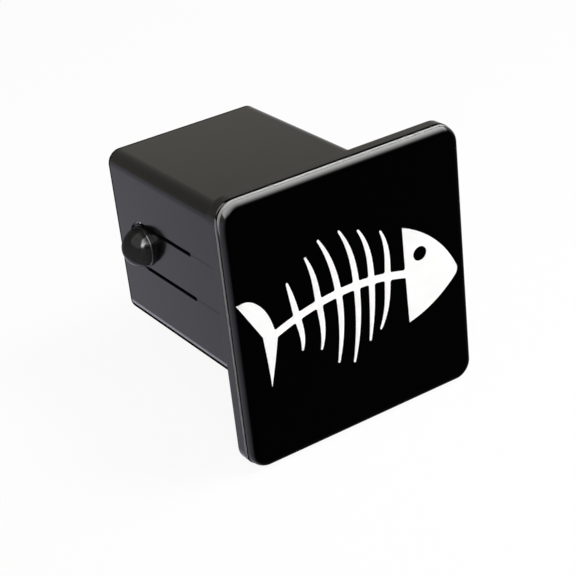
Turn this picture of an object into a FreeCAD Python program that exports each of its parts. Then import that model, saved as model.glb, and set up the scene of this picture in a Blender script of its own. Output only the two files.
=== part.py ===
import FreeCAD, Part
import os

# Hitch receiver cover, in millimetres.
# Origin: the centre of the flange's back face, on the tube's axis.
# +Y runs along the tube to its open rear end, the face plate looks along -Y, +Z is up.
# The tube is moulded in one with its flange and with a spring tongue in each side wall.
# The face plate is held on the flange by a thin adhesive sheet and carries a printed figure.

# Square tube that slides into the receiver
TUBE_WIDTH = 50.0
TUBE_HEIGHT = 50.7
TUBE_LENGTH = 75.0
TUBE_WALL = 2.5
TUBE_CORNER_R = 4.0
TUBE_RIM_R = 0.4
FLOOR_FILLET_R = 0.8

# Flange that stops against the receiver's mouth
FLANGE_WIDTH = 73.0
FLANGE_HEIGHT = 75.0
FLANGE_CORNER_R = 5.5
FLANGE_THICKNESS = 3.5
FLANGE_FRONT_EDGE_R = 0.4
FLANGE_BACK_EDGE_R = 0.15
FLANGE_ROOT_R = 0.5

# Spring tongue in each side wall, freed by a U-shaped slot, and the round knob near its end
LATCH_FROM_REAR = 14.6
LATCH_HEIGHT = 0.95
TONGUE_LENGTH = 26.8
SLOT_GAP = 0.8
SLOT_EDGE_R = 0.2
KNOB_R = 6.0
KNOB_LEDGE = 0.3
KNOB_COLLAR = 0.8
KNOB_COLLAR_EDGE_R = 0.3
KNOB_STEP = 0.4

# Face plate with rolled edges, set in from the flange's edges, and the adhesive sheet behind it
ADHESIVE_THICKNESS = 0.25
ADHESIVE_INSET = 0.4
PANEL_SIDE_INSET = 0.4
PANEL_TOP_INSET = 0.1
PANEL_CORNER_R = 5.3
PANEL_THICKNESS = 3.0
PANEL_ROLL_R = 2.4
PANEL_BACK_EDGE_R = 0.2

# Printed fish figure: each point is X and Z from the centre of the face plate
PRINT_THICKNESS = 0.1
PRINT_WEB_R = 0.6
HEAD_TOP = (15.6, 14.6)
HEAD_BROW = (25.45, 8.2)
HEAD_NOSE_TOP = (32.3, -1.7)
HEAD_NOSE = (32.5, -3.0)
HEAD_NOSE_FOOT = (32.0, -4.3)
HEAD_JAW = (25.2, -9.35)
HEAD_FOOT = (15.75, -12.95)
HEAD_BACK = (15.6, 0.7)
EYE_CENTRE = (20.65, 5.6)
EYE_WIDTH = 4.3
EYE_HEIGHT = 4.0
SPINE_CREST = (-2.2, 3.9)
SPINE_TAIL = (-25.75, -0.55)
SPINE_WIDTH = 2.1
RIB_WIDTH = 1.8
RIB_TIP_WIDTH = 0.65
# For each rib: upper tip, upper bend, X of its root on the spine, lower bend, lower tip
RIBS = (
    ((-20.45, 11.8), (-19.4, 7.05), -18.5, (-17.6, -4.25), (-17.95, -7.7)),
    ((-14.4, 16.7), (-12.4, 9.85), -11.75, (-11.35, -5.25), (-12.25, -9.7)),
    ((-10.15, 20.0), (-7.25, 13.25), -5.6, (-5.8, -7.25), (-7.4, -15.5)),
    ((-3.75, 20.35), (-0.85, 12.75), 0.05, (-0.6, -8.05), (-2.6, -17.3)),
    ((2.0, 18.6), (4.4, 12.0), 4.8, (4.0, -6.75), (2.9, -13.1)),
    ((8.8, 15.95), (10.2, 10.2), 9.9, (8.8, -5.55), (6.55, -11.1)),
)
TAIL_TIP = (-35.2, 10.9)
TAIL_CROWN = (-32.4, 11.25)
TAIL_BACK = (-29.25, 9.25)
TAIL_FALL = (-26.7, 5.25)
TAIL_TOP_ROOT = (-25.35, 0.15)
TAIL_HEEL = (-29.05, 0.1)
TAIL_HEEL_BEND = (-28.5, -6.75)
TAIL_FOOT = (-28.1, -14.35)
TAIL_FRONT = (-26.2, -7.25)
TAIL_FOOT_ROOT = (-24.65, -0.55)

# Outline of the face plate
PANEL_WIDTH = FLANGE_WIDTH - 2 * PANEL_SIDE_INSET
PANEL_HEIGHT = FLANGE_HEIGHT - 2 * PANEL_TOP_INSET

# Planes between the layers, going forward from the flange's back face
FLANGE_FRONT = -FLANGE_THICKNESS
ADHESIVE_FRONT = FLANGE_FRONT - ADHESIVE_THICKNESS
PANEL_FRONT = ADHESIVE_FRONT - PANEL_THICKNESS

# Places of the tongue, its slot and its knob
WALL_OUTSIDE = TUBE_WIDTH / 2
WALL_INSIDE = WALL_OUTSIDE - TUBE_WALL
TONGUE_HALF_WIDTH = KNOB_R + KNOB_LEDGE
SLOT_HALF_WIDTH = TONGUE_HALF_WIDTH + SLOT_GAP
LATCH_FROM_FLANGE = TUBE_LENGTH - LATCH_FROM_REAR
SLOT_START = LATCH_FROM_FLANGE - TONGUE_LENGTH
LATCH_CENTRE = FreeCAD.Vector(0, LATCH_FROM_FLANGE, LATCH_HEIGHT)

ALONG_X = FreeCAD.Vector(1, 0, 0)
ALONG_Y = FreeCAD.Vector(0, 1, 0)
CENTRE = FreeCAD.Vector(0, 0, 0)
NEAR = 0.001
QUARTER_TURN = 90.0
RIBBON_STEPS = 8


def edges_in_plane(shape, y):
    """Edges that lie whole in the plane at y."""
    return [edge for edge in shape.Edges
            if abs(edge.BoundBox.YMin - y) < NEAR and abs(edge.BoundBox.YMax - y) < NEAR]


def rounded_block(width, height, corner_r, front_y, back_y):
    """Block along the tube's axis with its four long edges rounded."""
    corner = FreeCAD.Vector(-width / 2, front_y, -height / 2)
    block = Part.makeBox(width, back_y - front_y, height, corner)
    long_edges = [edge for edge in block.Edges if edge.BoundBox.YLength > (back_y - front_y) / 2]
    return block.makeFillet(corner_r, long_edges)


def flange():
    """Flange with its front and back edges eased."""
    block = rounded_block(FLANGE_WIDTH, FLANGE_HEIGHT, FLANGE_CORNER_R, FLANGE_FRONT, 0)
    block = block.makeFillet(FLANGE_BACK_EDGE_R, edges_in_plane(block, 0))
    return block.makeFillet(FLANGE_FRONT_EDGE_R, edges_in_plane(block, FLANGE_FRONT))


def hollow():
    """Inside of the tube, from the flange's back plane out past the rear end."""
    width = TUBE_WIDTH - 2 * TUBE_WALL
    height = TUBE_HEIGHT - 2 * TUBE_WALL
    space = rounded_block(width, height, TUBE_CORNER_R - TUBE_WALL, 0, TUBE_LENGTH + TUBE_WALL)
    return space.makeFillet(FLOOR_FILLET_R, edges_in_plane(space, 0))


def across_wall(half_width, start_y):
    """Round-ended block through the right wall, about the latch's centre line."""
    reach = 2 * TUBE_WALL
    foot = FreeCAD.Vector(WALL_OUTSIDE - reach, start_y, LATCH_HEIGHT - half_width)
    straight = Part.makeBox(2 * reach, LATCH_FROM_FLANGE - start_y, 2 * half_width, foot)
    round_foot = LATCH_CENTRE + ALONG_X * (WALL_OUTSIDE - reach)
    round_end = Part.makeCylinder(half_width, 2 * reach, round_foot, ALONG_X)
    return straight.fuse(round_end).removeSplitter()


def slot():
    """U-shaped slot round the tongue in the right wall, with round ends."""
    tongue = across_wall(TONGUE_HALF_WIDTH, SLOT_START - SLOT_GAP)
    cut = across_wall(SLOT_HALF_WIDTH, SLOT_START).cut(tongue)
    reach = 2 * TUBE_WALL
    for side in (-1, 1):
        height = LATCH_HEIGHT + side * (TONGUE_HALF_WIDTH + SLOT_GAP / 2)
        foot = FreeCAD.Vector(WALL_OUTSIDE - reach, SLOT_START, height)
        cut = cut.fuse(Part.makeCylinder(SLOT_GAP / 2, 2 * reach, foot, ALONG_X))
    return cut.removeSplitter()


def slotted(body, side):
    """Body with the slot cut in its left (-1) or right (1) wall, its outside edges eased."""
    tool = slot() if side > 0 else slot().mirror(CENTRE, ALONG_X)
    body = body.cut(tool)
    wall = side * WALL_OUTSIDE
    cut_edges = [edge for edge in body.Edges if tool.BoundBox.isInside(edge.BoundBox)]
    rims = [edge for edge in cut_edges if abs(edge.CenterOfMass.x - wall) < NEAR]
    return body.makeFillet(SLOT_EDGE_R, rims)


def knob():
    """Knob on the right tongue: a half ball on a low collar."""
    collar_top = WALL_OUTSIDE + KNOB_COLLAR
    root = LATCH_CENTRE + ALONG_X * WALL_INSIDE
    collar = Part.makeCylinder(KNOB_R, collar_top - WALL_INSIDE, root, ALONG_X)
    rim = [edge for edge in collar.Edges if edge.BoundBox.XMin > collar_top - NEAR]
    collar = collar.makeFillet(KNOB_COLLAR_EDGE_R, rim)
    dome_r = KNOB_R - KNOB_STEP
    dome_foot = LATCH_CENTRE + ALONG_X * collar_top
    dome = Part.makeSphere(dome_r, dome_foot, ALONG_X, 0, QUARTER_TURN)
    return collar.fuse(dome).removeSplitter()


def plug_body():
    """Tube, flange, tongues and knobs as the one moulding that they are."""
    tube = rounded_block(TUBE_WIDTH, TUBE_HEIGHT, TUBE_CORNER_R, FLANGE_FRONT / 2, TUBE_LENGTH)
    body = flange().fuse(tube).removeSplitter()
    root = [edge for edge in edges_in_plane(body, 0)
            if max(abs(edge.BoundBox.XMin), abs(edge.BoundBox.XMax)) < WALL_OUTSIDE + NEAR]
    body = body.makeFillet(FLANGE_ROOT_R, root)
    body = body.cut(hollow())
    body = body.makeFillet(TUBE_RIM_R, edges_in_plane(body, TUBE_LENGTH))
    for side in (-1, 1):
        body = slotted(body, side)
    for button in (knob(), knob().mirror(CENTRE, ALONG_X)):
        body = body.fuse(button)
    return body.removeSplitter()


def face_adhesive():
    """Thin adhesive sheet between flange and face plate, set in from the plate's edges."""
    width = PANEL_WIDTH - 2 * ADHESIVE_INSET
    height = PANEL_HEIGHT - 2 * ADHESIVE_INSET
    corner_r = PANEL_CORNER_R - ADHESIVE_INSET
    return rounded_block(width, height, corner_r, ADHESIVE_FRONT, FLANGE_FRONT)


def rolled_plate(grow):
    """Face plate grown outward by the given amount on its front and sides."""
    width = PANEL_WIDTH + 2 * grow
    height = PANEL_HEIGHT + 2 * grow
    plate = rounded_block(width, height, PANEL_CORNER_R + grow, PANEL_FRONT - grow, ADHESIVE_FRONT)
    return plate.makeFillet(PANEL_ROLL_R + grow, edges_in_plane(plate, PANEL_FRONT - grow))


def face_panel():
    """Face plate with its front edges rolled and its back edges eased."""
    plate = rolled_plate(0)
    return plate.makeFillet(PANEL_BACK_EDGE_R, edges_in_plane(plate, ADHESIVE_FRONT))


def at(point):
    """Place of a figure's point, in a plane across the tube's axis."""
    return FreeCAD.Vector(point[0], 0, point[1])


def arc(start, middle, end):
    """Arc through three of the figure's points."""
    return Part.Arc(at(start), at(middle), at(end)).toShape()


def smooth_line(places):
    """Smooth curve through places."""
    curve = Part.BSplineCurve()
    curve.interpolate(places)
    return curve


def flat_face(edges):
    """Flat face inside a closed run of edges."""
    return Part.Face(Part.Wire(edges))


def end_cap(start, end, outward):
    """Half-round end of a ribbon, between its two sides."""
    middle = (start + end) * 0.5 + outward * (start.distanceToPoint(end) / 2)
    return Part.Arc(start, middle, end).toShape()


def ribbon(places, widths):
    """Strip along a smooth line through places, with its width at each step, and round ends."""
    line = smooth_line(places)
    first = line.FirstParameter
    last = line.LastParameter
    left = []
    right = []
    for step, width in enumerate(widths):
        where = first + (last - first) * step / (len(widths) - 1)
        forward = line.tangent(where)[0]
        across = forward.cross(ALONG_Y) * (width / 2)
        left.append(line.value(where) + across)
        right.append(line.value(where) - across)
    back = line.tangent(first)[0] * -1
    ahead = line.tangent(last)[0]
    return flat_face([
        smooth_line(left).toShape(),
        end_cap(left[-1], right[-1], ahead),
        smooth_line(right[::-1]).toShape(),
        end_cap(right[0], left[0], back),
    ])


def spine_point(x):
    """Point of the bowed spine, which falls away from its crest to both ends."""
    away = (x - SPINE_CREST[0]) / (SPINE_TAIL[0] - SPINE_CREST[0])
    return (x, SPINE_CREST[1] - (SPINE_CREST[1] - SPINE_TAIL[1]) * away ** 2)


def spine():
    """Spine from the tail's root into the head."""
    first = SPINE_TAIL[0]
    last = HEAD_BACK[0] + SPINE_WIDTH
    reach = (last - first) / RIBBON_STEPS
    places = [at(spine_point(first + reach * step)) for step in range(RIBBON_STEPS + 1)]
    return ribbon(places, [SPINE_WIDTH] * (RIBBON_STEPS + 1))


def rib(upper_tip, upper_bend, root_x, lower_bend, lower_tip):
    """Crescent through the spine, widest at its root and narrowing to both tips."""
    root_place = at(spine_point(root_x))
    places = [at(upper_tip), at(upper_bend), root_place, at(lower_bend), at(lower_tip)]
    line = smooth_line(places)
    first = line.FirstParameter
    last = line.LastParameter
    root = (line.parameter(root_place) - first) / (last - first)
    widths = []
    for step in range(RIBBON_STEPS + 1):
        share = step / RIBBON_STEPS
        away = (root - share) / root if share < root else (share - root) / (1 - root)
        widths.append(RIB_TIP_WIDTH + (RIB_WIDTH - RIB_TIP_WIDTH) * (1 - away ** 2))
    return ribbon(places, widths)


def head():
    """Fish head with a round nose and an open eye."""
    outline = flat_face([
        arc(HEAD_TOP, HEAD_BROW, HEAD_NOSE_TOP),
        arc(HEAD_NOSE_TOP, HEAD_NOSE, HEAD_NOSE_FOOT),
        arc(HEAD_NOSE_FOOT, HEAD_JAW, HEAD_FOOT),
        arc(HEAD_FOOT, HEAD_BACK, HEAD_TOP),
    ])
    centre = at(EYE_CENTRE)
    eye_side = centre + ALONG_X * (EYE_WIDTH / 2)
    eye_top = centre + FreeCAD.Vector(0, 0, EYE_HEIGHT / 2)
    eye = flat_face([Part.Ellipse(eye_side, eye_top, centre).toShape()])
    return outline.cut(eye).Faces[0]


def tail():
    """Tail fin of two lobes, the upper one broad and the lower one narrow."""
    crest = [at(point) for point in (TAIL_TIP, TAIL_CROWN, TAIL_BACK, TAIL_FALL, TAIL_TOP_ROOT)]
    return flat_face([
        smooth_line(crest).toShape(),
        Part.makeLine(at(TAIL_TOP_ROOT), at(TAIL_FOOT_ROOT)),
        arc(TAIL_FOOT_ROOT, TAIL_FRONT, TAIL_FOOT),
        arc(TAIL_FOOT, TAIL_HEEL_BEND, TAIL_HEEL),
        Part.makeLine(at(TAIL_HEEL), at(TAIL_TIP)),
    ])


def webbed(face, strips, depth):
    """Block of the figure, with a small fillet wherever two of its strips cross."""
    own = [corner.Point for strip in strips for corner in strip.Vertexes]
    block = face.extrude(ALONG_Y * depth)
    crossings = []
    for edge in block.Edges:
        foot = edge.Vertexes[0].Point
        foot.y = 0
        apart = min(foot.distanceToPoint(corner) for corner in own)
        if edge.BoundBox.YLength > depth / 2 and apart > NEAR:
            crossings.append(edge)
    return block.makeFillet(PRINT_WEB_R, crossings)


def fish_print():
    """Printed figure, a thin layer that follows the face plate and its rolled edge."""
    strips = [head(), spine(), tail()] + [rib(*row) for row in RIBS]
    figure = strips[0].multiFuse(strips[1:]).removeSplitter().Faces[0]
    block = webbed(figure, strips, PRINT_THICKNESS + PANEL_THICKNESS)
    block.translate(ALONG_Y * (PANEL_FRONT - PRINT_THICKNESS))
    return rolled_plate(PRINT_THICKNESS).cut(rolled_plate(0)).common(block)


def main():
    os.makedirs("parts", exist_ok=True)
    for piece in (plug_body, face_adhesive, face_panel, fish_print):
        shape = piece()
        shape.exportStep("parts/" + piece.__name__ + ".step")
        print(piece.__name__, shape.ShapeType, shape.isValid(), len(shape.Solids),
              round(shape.Volume, 2), shape.BoundBox)


main()
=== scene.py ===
import bmesh
import bpy
import math
from mathutils import Matrix, Vector
from types import SimpleNamespace


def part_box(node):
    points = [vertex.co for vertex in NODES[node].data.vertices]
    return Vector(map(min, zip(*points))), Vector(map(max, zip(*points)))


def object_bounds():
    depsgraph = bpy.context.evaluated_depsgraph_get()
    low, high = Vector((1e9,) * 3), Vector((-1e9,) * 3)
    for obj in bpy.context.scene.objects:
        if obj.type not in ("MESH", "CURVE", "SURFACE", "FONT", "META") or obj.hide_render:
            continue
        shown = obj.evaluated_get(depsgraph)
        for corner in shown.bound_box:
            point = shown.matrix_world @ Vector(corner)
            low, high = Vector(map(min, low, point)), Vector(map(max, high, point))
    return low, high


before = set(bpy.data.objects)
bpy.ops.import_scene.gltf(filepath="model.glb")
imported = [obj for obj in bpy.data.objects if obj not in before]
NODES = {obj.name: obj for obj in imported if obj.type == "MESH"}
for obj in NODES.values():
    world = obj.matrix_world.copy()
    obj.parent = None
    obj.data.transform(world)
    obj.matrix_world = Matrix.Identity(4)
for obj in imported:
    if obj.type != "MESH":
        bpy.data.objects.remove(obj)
cad_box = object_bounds()
MM = 0.001
PLUG_LOW, PLUG_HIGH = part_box("plug_body")
PANEL_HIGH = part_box("face_panel")[1]

# Camera, from the lines of the tube and plate in the photograph (sizes in mm, angles in degrees)
IMAGE_SIDE = 576
FOCAL_PIXELS = 1603.0
SENSOR_WIDTH = 36.0
CAMERA_AZIMUTH = -31.01
CAMERA_ELEVATION = 27.02
CAMERA_ROLL = -6.60
CAMERA_DISTANCE = 404.3
CAMERA_TARGET = (-16.14, 0.0, 6.66)
CAMERA_NEAR = 10.0

# Floor's reach in metres, how far it is lifted to white where it is seen, and the world's fill light
FLOOR_REACH = 3.0
FLOOR_LIFT = 0.93
WORLD_FILL = 0.15

# Places that the finishes follow, in metres: the tube, its latch and slots, the flange and the plate
TUBE_HALF_WIDTH = 25.0 * MM
TUBE_HALF_HEIGHT = 25.35 * MM
TUBE_CORNER_R = 4.0 * MM
TUBE_ROOT = 0.3 * MM
TUBE_END = PLUG_HIGH.y
KNOB_BACK = 60.4 * MM
LATCH_HEIGHT = 0.95 * MM
SLOT_START = 33.6 * MM
SLOT_OFFSET = 6.7 * MM
FLANGE_HALF_WIDTH = PLUG_HIGH.x
FLANGE_HALF_HEIGHT = PLUG_HIGH.z
FLANGE_FRONT = PLUG_LOW.y
PANEL_CORNER_R = 5.3 * MM
PANEL_BACK = PANEL_HIGH.y
PANEL_CREST = PANEL_HIGH.z

# Widths that the finishes keep, in metres
SKIN_DEPTH = 1.0 * MM
EDGE_DEPTH = 0.5 * MM
FACE_MARGIN = 0.1 * MM
HAIR = 0.05 * MM
CORE_LINE_HALF_WIDTH = 0.15 * MM
# The slots' lips carry painted shade
SLOT_LIP = 0.75 * MM
SLOT_LIP_LEAD = 0.3 * MM
KNOB_LINE_HEIGHT = 1.0 * MM
SIDE_GLOSS_WIDTH = 0.95 * MM
TOP_GLOSS_WIDTH = 1.2 * MM
GLOSS_MARGIN = 0.2 * MM

# Soft borders of the finishes: where each starts and where it is full, in mm from its own datum plane,
# which is the middle plane for the corner line's heights
CORNER_BORDER = (-0.2, 0.3)
# The rim's and the flange lip's borders are those of painted shade
RIM_BORDER = (-1.1, -0.8)
LIP_BORDER = (0.6, 0.3)
# The flange side border is that of a painted highlight
FLANGE_HIGHLIGHT_BORDER = (0.35, 0.1)
# The corner line is a painted highlight, and below its foot the corners carry painted shade
CORNER_LINE_TOP = (-20.85, -21.15)
CORNER_LINE_FOOT = (-21.83, -22.07)
KNOB_SHINE_BACK = (-3.55, -3.9)
KNOB_SHINE_OUT = (-2.56, -3.76)
KNOB_SHINE_FOOT = (0.85, 2.05)
KNOB_RIM_TOP = (0.05, -1.95)
KNOB_RIM_BACK = (-4.0, -3.0)
PANEL_GLOSS_RISE = (-9.0, -2.0)
PANEL_BACK_CUT = (-0.35, -0.75)
# The brim's borders are those of a painted highlight, a pale line along the plate's top edge
BRIM_OUT = (-0.4, -0.25)
BRIM_BACK = (-1.3, -0.85)

# Strengths of the finishes, from 0 to 1, and how much the knob's shine leans as it goes back
REAR_DULLNESS = 0.7
CORE_LINE_DULLNESS = 0.4
# Strength of the painted highlight along the tube's lower corners
CORNER_HIGHLIGHT_STRENGTH = 0.6
KNOB_GLOSS = 0.9
# How much of the knobs shows their matt part, which is painted lighter grey as a painted sheen, away from
# and on their shine
KNOB_DULLNESS = 0.8
KNOB_SHINE_DULLNESS = 0.2
KNOB_SHINE_LEAN = 1.4
SIDE_GLOSS = 0.7

# Sizes of the finishes' patterns, in metres
MOULD_GRAIN = 0.35 * MM
MOULD_FLOW = 14 * MM
POLISH_SMEAR = 9 * MM
SCREEN_MESH = 0.3 * MM
INK_COVER = 4 * MM
FOAM_CELL = 0.12 * MM


def linear(hex_colour):
    """Linear colour of an sRGB hex value."""
    channels = [int(hex_colour[start:start + 2], 16) / 255 for start in (1, 3, 5)]
    return [c / 12.92 if c <= 0.04045 else ((c + 0.055) / 1.055) ** 2.4 for c in channels] + [1.0]


def node(tree, kind, inputs=None, **settings):
    """A node with its settings, and each input given a value or linked from an output."""
    made = tree.nodes.new(kind)
    for name, value in settings.items():
        setattr(made, name, value)
    for name, value in (inputs or {}).items():
        if isinstance(value, bpy.types.NodeSocket):
            tree.links.new(value, made.inputs[name])
        else:
            made.inputs[name].default_value = value
    return made


def material(name):
    """An empty node material and its tree."""
    made = bpy.data.materials.new(name)
    made.use_nodes = True
    made.node_tree.nodes.clear()
    return made, made.node_tree


def dress(node_name, finish):
    """Gives a CAD node its finish."""
    mesh = NODES[node_name].data
    mesh.materials.clear()
    mesh.materials.append(finish)


def places(tree):
    """Object coordinates, and the distances back, up and out from the middle that masks are made of."""
    point = node(tree, "ShaderNodeTexCoord").outputs["Object"]
    axes = node(tree, "ShaderNodeSeparateXYZ", {"Vector": point}).outputs
    return SimpleNamespace(
        point=point, back=axes["Y"], height=axes["Z"],
        across=node(tree, "ShaderNodeMath", {0: axes["X"]}, operation="ABSOLUTE").outputs[0],
        upward=node(tree, "ShaderNodeMath", {0: axes["Z"]}, operation="ABSOLUTE").outputs[0])


def ramp(tree, value, start, end, low=0.0, high=1.0):
    """Value turned smoothly from low at start to high at end."""
    return node(tree, "ShaderNodeMapRange", {
        "Value": value, "From Min": start, "From Max": end, "To Min": low, "To Max": high},
        interpolation_type="SMOOTHSTEP").outputs["Result"]


def fade(tree, value, border, datum=0.0):
    """0 to 1 across a soft border, whose ends are given in mm from a datum in metres."""
    start, end = border
    return ramp(tree, value, datum + start * MM, datum + end * MM)


def all_of(tree, first, *others):
    """Product of masks: 1 where all of them are 1."""
    joined = first
    for mask in others:
        joined = node(tree, "ShaderNodeMath", {0: joined, 1: mask}, operation="MULTIPLY").outputs[0]
    return joined


def any_of(tree, first, *others):
    """Largest of masks: 1 where any of them is 1."""
    joined = first
    for mask in others:
        joined = node(tree, "ShaderNodeMath", {0: joined, 1: mask}, operation="MAXIMUM").outputs[0]
    return joined


def above(tree, value, limit):
    """1 where a length is over a limit, else 0."""
    return node(tree, "ShaderNodeMath", {0: value, 1: limit}, operation="GREATER_THAN").outputs[0]


def below(tree, value, limit):
    """1 where a length is under a limit, else 0."""
    return node(tree, "ShaderNodeMath", {0: value, 1: limit}, operation="LESS_THAN").outputs[0]


def between(tree, value, low, high):
    """1 where a length lies between two limits, else 0."""
    return all_of(tree, above(tree, value, low), below(tree, value, high))


def blend_colours(tree, mask, low, high):
    """One colour where a mask is 0, another where it is 1."""
    return node(tree, "ShaderNodeMix", {"Factor": mask, "A": low, "B": high},
                data_type="RGBA").outputs["Result"]


def long_corners(tree, at):
    """The tube's four long rounded corners, smooth where the flat faces have a grain."""
    past_side = node(tree, "ShaderNodeMath", {0: at.across, 1: TUBE_HALF_WIDTH - TUBE_CORNER_R},
                     operation="SUBTRACT").outputs[0]
    past_top = node(tree, "ShaderNodeMath", {0: at.upward, 1: TUBE_HALF_HEIGHT - TUBE_CORNER_R},
                    operation="SUBTRACT").outputs[0]
    past_both = node(tree, "ShaderNodeMath", {0: past_side, 1: past_top}, operation="MINIMUM").outputs[0]
    return all_of(tree, fade(tree, past_both, CORNER_BORDER), above(tree, at.back, TUBE_ROOT))


def lower_corner(tree, at, border):
    """The rounding of the tube's lower corners, below a soft border of height."""
    return all_of(tree, above(tree, at.back, TUBE_ROOT),
                  above(tree, at.across, TUBE_HALF_WIDTH - TUBE_CORNER_R), fade(tree, at.height, border))


def core_lines(tree, at):
    """Faint witness lines of the mould's slot cores, from the slots' ends to the flange."""
    over_latch = node(tree, "ShaderNodeMath", {0: at.height, 1: LATCH_HEIGHT}, operation="SUBTRACT")
    from_latch = node(tree, "ShaderNodeMath", {0: over_latch.outputs[0]}, operation="ABSOLUTE").outputs[0]
    on_line = between(tree, from_latch, SLOT_OFFSET - CORE_LINE_HALF_WIDTH,
                      SLOT_OFFSET + CORE_LINE_HALF_WIDTH)
    return all_of(tree, on_line, between(tree, at.back, TUBE_ROOT, SLOT_START),
                  above(tree, at.across, TUBE_HALF_WIDTH - FACE_MARGIN), CORE_LINE_DULLNESS)


def slot_lip_shade(tree, at):
    """Painted shade along the slots' lower lips, on the outside of the tube's sides."""
    on_lip = any_of(tree, *(between(tree, at.height, slot - SLOT_LIP, slot)
                            for slot in (LATCH_HEIGHT - SLOT_OFFSET, LATCH_HEIGHT + SLOT_OFFSET)))
    return all_of(tree, on_lip, between(tree, at.back, SLOT_START - SLOT_LIP_LEAD, KNOB_BACK),
                  between(tree, at.across, TUBE_HALF_WIDTH - FACE_MARGIN, TUBE_HALF_WIDTH + FACE_MARGIN))


def shade_and_dull_edges(tree, at, outside):
    """Where the moulding is dark and matt: painted shade on the tube's rear rim, on the undersides of its
    lower corners, on the flange's front edges above and below and on the slots' lips; in part the
    flange's back, which is matt, and the witness lines."""
    # Painted shade: the rear rim, the lower corners' undersides, the flange's front edges and the slots'
    # lips are mixed to matt black
    rim = all_of(tree, outside, below(tree, at.back, TUBE_END - HAIR),
                 fade(tree, at.back, RIM_BORDER, TUBE_END))
    flange_front_shade = all_of(tree, above(tree, at.upward, FLANGE_HALF_HEIGHT - EDGE_DEPTH),
                         fade(tree, at.back, LIP_BORDER, FLANGE_FRONT))
    flange_back = all_of(tree, between(tree, at.back, -HAIR, TUBE_ROOT), REAR_DULLNESS)
    return any_of(tree, rim, lower_corner(tree, at, CORNER_LINE_FOOT), flange_front_shade, flange_back,
                  core_lines(tree, at), slot_lip_shade(tree, at))


def knob_shine(tree, at):
    """The small shine on the knobs' front: a patch on the dome, and a line where it meets its collar."""
    leaning = node(tree, "ShaderNodeMath", {0: at.back, 1: KNOB_SHINE_LEAN, 2: at.across},
                   operation="MULTIPLY_ADD").outputs[0]
    return all_of(tree, fade(tree, at.back, KNOB_SHINE_BACK, KNOB_BACK),
                  fade(tree, leaning, KNOB_SHINE_OUT, TUBE_HALF_WIDTH + KNOB_SHINE_LEAN * KNOB_BACK),
                  any_of(tree, fade(tree, at.height, KNOB_SHINE_FOOT, LATCH_HEIGHT),
                         below(tree, at.across, TUBE_HALF_WIDTH + KNOB_LINE_HEIGHT)))


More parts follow.
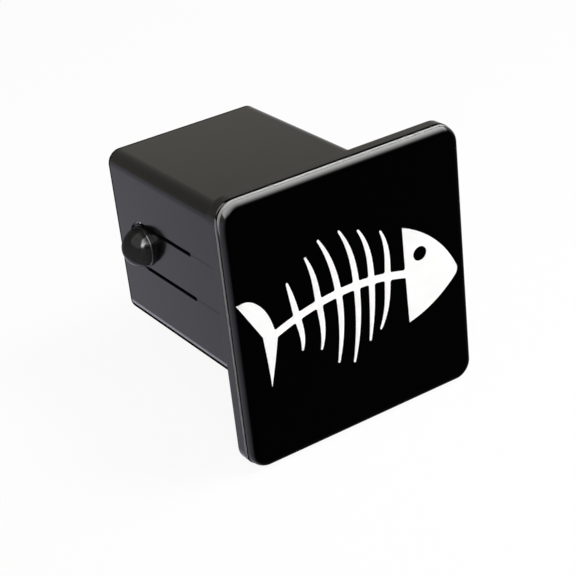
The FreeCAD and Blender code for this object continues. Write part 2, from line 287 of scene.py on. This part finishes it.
def moulded_abs():
    """Black ABS moulded in a spark-eroded tool: its flat faces have a fine satin grain that catches
    the light, drawn coarser than the real one so that it shows. The tube's long corners are smooth and
    deep black. The knobs are smooth, with a clear shine on their front, and their matt part is painted
    lighter grey as a painted sheen. Painted shade darkens the tube's rear rim, the undersides of its
    lower corners, the flange's front edges and the slots' lips; the flange's back is partly matt and the
    witness lines are dull. The flange's side edges and a line along the tube's lower corners are painted
    highlights in pale grey."""
    made, tree = material("moulded_black_abs")
    at = places(tree)
    outside = any_of(tree, above(tree, at.across, TUBE_HALF_WIDTH - SKIN_DEPTH),
                     above(tree, at.upward, TUBE_HALF_HEIGHT - SKIN_DEPTH))
    edges = shade_and_dull_edges(tree, at, outside)
    knob = all_of(tree, above(tree, at.across, TUBE_HALF_WIDTH + FACE_MARGIN),
                  above(tree, at.back, SLOT_START))
    smooth = any_of(tree, long_corners(tree, at), knob)
    shine = all_of(tree, knob, knob_shine(tree, at))
    knob_rim = all_of(tree, knob, fade(tree, at.height, KNOB_RIM_TOP, LATCH_HEIGHT),
                      fade(tree, at.back, KNOB_RIM_BACK, KNOB_BACK))
    # Share of the knob's matt part, painted lighter grey as a painted sheen, less on its shine and rim
    knob_shade = all_of(tree, knob, ramp(tree, any_of(tree, shine, knob_rim), 0.0, 1.0,
                                         KNOB_DULLNESS, KNOB_SHINE_DULLNESS))
    # Painted highlights: a pale line along the tube's lower corners and on the flange's side edges
    corner_highlight = lower_corner(tree, at, CORNER_LINE_TOP)
    flange_side_highlight = all_of(tree, above(tree, at.across, FLANGE_HALF_WIDTH - EDGE_DEPTH),
                          below(tree, at.upward, FLANGE_HALF_HEIGHT - EDGE_DEPTH),
                          fade(tree, at.back, FLANGE_HIGHLIGHT_BORDER, FLANGE_FRONT))
    painted_highlights = any_of(tree, flange_side_highlight, all_of(tree, corner_highlight, CORNER_HIGHLIGHT_STRENGTH))

    grain = node(tree, "ShaderNodeTexNoise", {"Vector": at.point, "Scale": 1 / MOULD_GRAIN, "Detail": 2.0})
    flow = node(tree, "ShaderNodeTexNoise", {"Vector": at.point, "Scale": 1 / MOULD_FLOW, "Detail": 3.0})
    faces = blend_colours(tree, ramp(tree, grain.outputs["Fac"], 0.35, 0.65), linear("#0B0B0A"),
                          linear("#10100F"))
    walls = blend_colours(tree, outside, linear("#242424"), faces)
    black = blend_colours(tree, any_of(tree, smooth, edges), walls, linear("#050505"))
    bump = node(tree, "ShaderNodeBump", {
        "Height": grain.outputs["Fac"], "Strength": ramp(tree, smooth, 0.0, 1.0, 0.2, 0.03),
        "Distance": 0.02 * MM})
    # The pale grey base colour is that of the painted highlights
    skin = node(tree, "ShaderNodeBsdfPrincipled", {
        "Base Color": blend_colours(tree, painted_highlights, black, linear("#848484")),
        "Roughness": ramp(tree, flow.outputs["Fac"], 0.3, 0.7, 0.10, 0.14), "IOR": 1.5,
        "Specular IOR Level": 0.18,
        "Coat Weight": any_of(tree, all_of(tree, shine, KNOB_GLOSS), corner_highlight), "Coat Roughness": 0.2,
        "Coat IOR": 1.5, "Normal": bump.outputs["Normal"]})
    # The knobs' matt colour is lighter grey than the black moulding: a painted sheen
    matt = node(tree, "ShaderNodeBsdfDiffuse", {
        "Color": blend_colours(tree, knob, linear("#080808"), linear("#383838"))})
    worn = node(tree, "ShaderNodeMixShader", {
        0: any_of(tree, edges, knob_shade), 1: skin.outputs["BSDF"], 2: matt.outputs["BSDF"]})
    node(tree, "ShaderNodeOutputMaterial", {"Surface": worn.outputs["Shader"]})
    return made


def edge_reach(tree, at):
    """Distance out from the centre line of the face plate's rolled edge and rounded corners."""
    outward = {}
    for axis, distance, half in (("X", at.across, PANEL_HIGH.x), ("Z", at.upward, PANEL_HIGH.z)):
        past = node(tree, "ShaderNodeMath", {0: distance, 1: half - PANEL_CORNER_R}, operation="SUBTRACT")
        outward[axis] = node(tree, "ShaderNodeMath", {0: past.outputs[0], 1: 0.0},
                             operation="MAXIMUM").outputs[0]
    away = node(tree, "ShaderNodeCombineXYZ", outward).outputs["Vector"]
    return node(tree, "ShaderNodeVectorMath", {0: away}, operation="LENGTH").outputs["Value"]


def polished_panel():
    """Polished black acrylic: a deep black face, a clear gloss where its edge rolls over, widest along
    the top, and a painted highlight: a fine pale line along the top edge's brim."""
    made, tree = material("polished_black_acrylic")
    at = places(tree)
    high_up = fade(tree, at.height, PANEL_GLOSS_RISE, PANEL_CREST)
    reach = edge_reach(tree, at)
    gloss_start = ramp(tree, high_up, 0.0, 1.0, PANEL_CORNER_R - SIDE_GLOSS_WIDTH,
                       PANEL_CORNER_R - TOP_GLOSS_WIDTH)
    gloss = all_of(tree, ramp(tree, reach, gloss_start, PANEL_CORNER_R - GLOSS_MARGIN),
                   fade(tree, at.back, PANEL_BACK_CUT, PANEL_BACK),
                   ramp(tree, high_up, 0.0, 1.0, SIDE_GLOSS, 1.0))
    # Painted highlight: a pale line along the top edge's brim
    brim_highlight = all_of(tree, high_up, fade(tree, reach, BRIM_OUT, PANEL_CORNER_R),
                       fade(tree, at.back, BRIM_BACK, PANEL_BACK))
    smear = node(tree, "ShaderNodeTexNoise", {"Vector": at.point, "Scale": 1 / POLISH_SMEAR, "Detail": 4.0})
    skin = node(tree, "ShaderNodeBsdfPrincipled", {
        "Base Color": blend_colours(tree, brim_highlight, linear("#010101"), linear("#C4C4C4")),
        "Roughness": ramp(tree, smear.outputs["Fac"], 0.35, 0.65, 0.05, 0.12), "IOR": 1.5,
        "Specular IOR Level": 0.006, "Coat Weight": gloss, "Coat Roughness": 0.14, "Coat IOR": 1.5})
    node(tree, "ShaderNodeOutputMaterial", {"Surface": skin.outputs["BSDF"]})
    return made


def white_ink():
    """Opaque white screen ink: nearly flat, with the faint bumps that the screen's mesh leaves, drawn
    coarser than the real ones so that they show."""
    made, tree = material("white_screen_ink")
    place = node(tree, "ShaderNodeTexCoord").outputs["Object"]
    mesh_marks = node(tree, "ShaderNodeTexNoise", {"Vector": place, "Scale": 1 / SCREEN_MESH, "Detail": 1.0})
    cover = node(tree, "ShaderNodeTexNoise", {"Vector": place, "Scale": 1 / INK_COVER, "Detail": 2.0})
    bump = node(tree, "ShaderNodeBump", {
        "Height": mesh_marks.outputs["Fac"], "Strength": 0.1, "Distance": 0.01 * MM})
    skin = node(tree, "ShaderNodeBsdfPrincipled", {
        "Base Color": blend_colours(tree, cover.outputs["Fac"], linear("#FAFAF9"), linear("#FFFFFF")),
        "Roughness": 0.38, "IOR": 1.5, "Normal": bump.outputs["Normal"]})
    node(tree, "ShaderNodeOutputMaterial", {"Surface": skin.outputs["BSDF"]})
    return made


def foam_tape():
    """Black foam tape: matt open cells, seen only as a dark line in the joint."""
    made, tree = material("black_foam_tape")
    place = node(tree, "ShaderNodeTexCoord").outputs["Object"]
    cells = node(tree, "ShaderNodeTexVoronoi", {"Vector": place, "Scale": 1 / FOAM_CELL})
    bump = node(tree, "ShaderNodeBump", {
        "Height": cells.outputs["Distance"], "Strength": 0.5, "Distance": 0.04 * MM})
    skin = node(tree, "ShaderNodeBsdfPrincipled", {
        "Base Color": linear("#0D0D0D"), "Roughness": 0.9, "IOR": 1.45, "Specular IOR Level": 0.2,
        "Normal": bump.outputs["Normal"]})
    node(tree, "ShaderNodeOutputMaterial", {"Surface": skin.outputs["BSDF"]})
    return made


def direction(azimuth, elevation):
    """Unit vector from the object at an azimuth and elevation in degrees."""
    turn = math.radians(azimuth)
    rise = math.radians(elevation)
    return Vector((math.sin(turn) * math.cos(rise), -math.cos(turn) * math.cos(rise), math.sin(rise)))


def camera():
    """Camera at the photograph's place, turned and rolled as it was."""
    back = direction(CAMERA_AZIMUTH, CAMERA_ELEVATION)
    level = (-back).to_track_quat("-Z", "Y").to_matrix()
    roll = Matrix.Rotation(math.radians(CAMERA_ROLL), 3, "Z")
    place = Vector(CAMERA_TARGET) * MM + back * CAMERA_DISTANCE * MM
    made = bpy.data.objects.new("camera", bpy.data.cameras.new("camera"))
    made.matrix_world = Matrix.Translation(place) @ (level @ roll).to_4x4()
    made.data.sensor_width = SENSOR_WIDTH
    made.data.lens = FOCAL_PIXELS * SENSOR_WIDTH / IMAGE_SIDE
    made.data.clip_start = CAMERA_NEAR * MM
    bpy.context.scene.collection.objects.link(made)
    bpy.context.scene.camera = made


def softbox(name, azimuth, elevation, distance, width, height, glow, lights=True, shines=True):
    """Rectangular lamp of a given radiance that faces the object from an angle (m, degrees), and
    that lights it, shows as a shine on it, or both."""
    outward = direction(azimuth, elevation)
    lamp = bpy.data.lights.new(name, "AREA")
    lamp.shape = "RECTANGLE"
    lamp.size = width
    lamp.size_y = height
    lamp.energy = glow * math.pi * width * height
    made = bpy.data.objects.new(name, lamp)
    made.location = outward * distance
    made.rotation_mode = "QUATERNION"
    made.rotation_quaternion = (-outward).to_track_quat("-Z", "Y")
    made.visible_camera = False
    made.visible_diffuse = lights
    made.visible_glossy = shines
    bpy.context.scene.collection.objects.link(made)


def seen_directly(tree):
    """1 for rays from the camera, from gloss and through clear parts, else 0."""
    path = node(tree, "ShaderNodeLightPath").outputs
    return any_of(tree, path["Is Camera Ray"], path["Is Glossy Ray"], path["Is Transmission Ray"])


def white_with(tree, tint):
    """White to the camera, and a tint of white in reflections and as light."""
    on_camera = node(tree, "ShaderNodeLightPath").outputs["Is Camera Ray"]
    return blend_colours(tree, on_camera, linear(tint), linear("#FFFFFF"))


def floor():
    """Pale floor, lifted towards white where it is seen, with the object's shadow kept."""
    made, tree = material("pale_floor")
    pale = node(tree, "ShaderNodeBsdfDiffuse", {"Color": linear("#FAFAFA")})
    white = node(tree, "ShaderNodeEmission", {"Color": white_with(tree, "#F0EFFF"), "Strength": 1.0})
    mixed = node(tree, "ShaderNodeMixShader", {
        0: all_of(tree, seen_directly(tree), FLOOR_LIFT), 1: pale.outputs["BSDF"],
        2: white.outputs["Emission"]})
    node(tree, "ShaderNodeOutputMaterial", {"Surface": mixed.outputs["Shader"]})
    mesh = bpy.data.meshes.new("floor")
    shape = bmesh.new()
    bmesh.ops.create_grid(shape, x_segments=1, y_segments=1, size=FLOOR_REACH)
    bmesh.ops.translate(shape, vec=(0, 0, cad_box[0].z), verts=shape.verts)
    shape.to_mesh(mesh)
    shape.free()
    mesh.materials.append(made)
    plane = bpy.data.objects.new("floor", mesh)
    bpy.context.scene.collection.objects.link(plane)


def surround():
    """White world as seen, and a soft even fill as light."""
    world = bpy.data.worlds.new("studio")
    world.use_nodes = True
    tree = world.node_tree
    tree.nodes.clear()
    sky = node(tree, "ShaderNodeBackground", {
        "Color": white_with(tree, "#D2CFC6"),
        "Strength": ramp(tree, seen_directly(tree), 0.0, 1.0, WORLD_FILL, 1.0)})
    node(tree, "ShaderNodeOutputWorld", {"Surface": sky.outputs["Background"]})
    bpy.context.scene.world = world


dress("plug_body", moulded_abs())
dress("face_panel", polished_panel())
dress("fish_print", white_ink())
dress("face_adhesive", foam_tape())

camera()
floor()
surround()
softbox("overhead_shine", azimuth=0, elevation=74, distance=0.55, width=1.9, height=1.12, glow=7,
        lights=False)
softbox("key", azimuth=60, elevation=55, distance=1.0, width=0.5, height=0.5, glow=11, shines=False)
softbox("front_fill", azimuth=-18, elevation=32, distance=1.0, width=0.4, height=0.4, glow=7)

bpy.context.scene.view_settings.view_transform = "Standard"
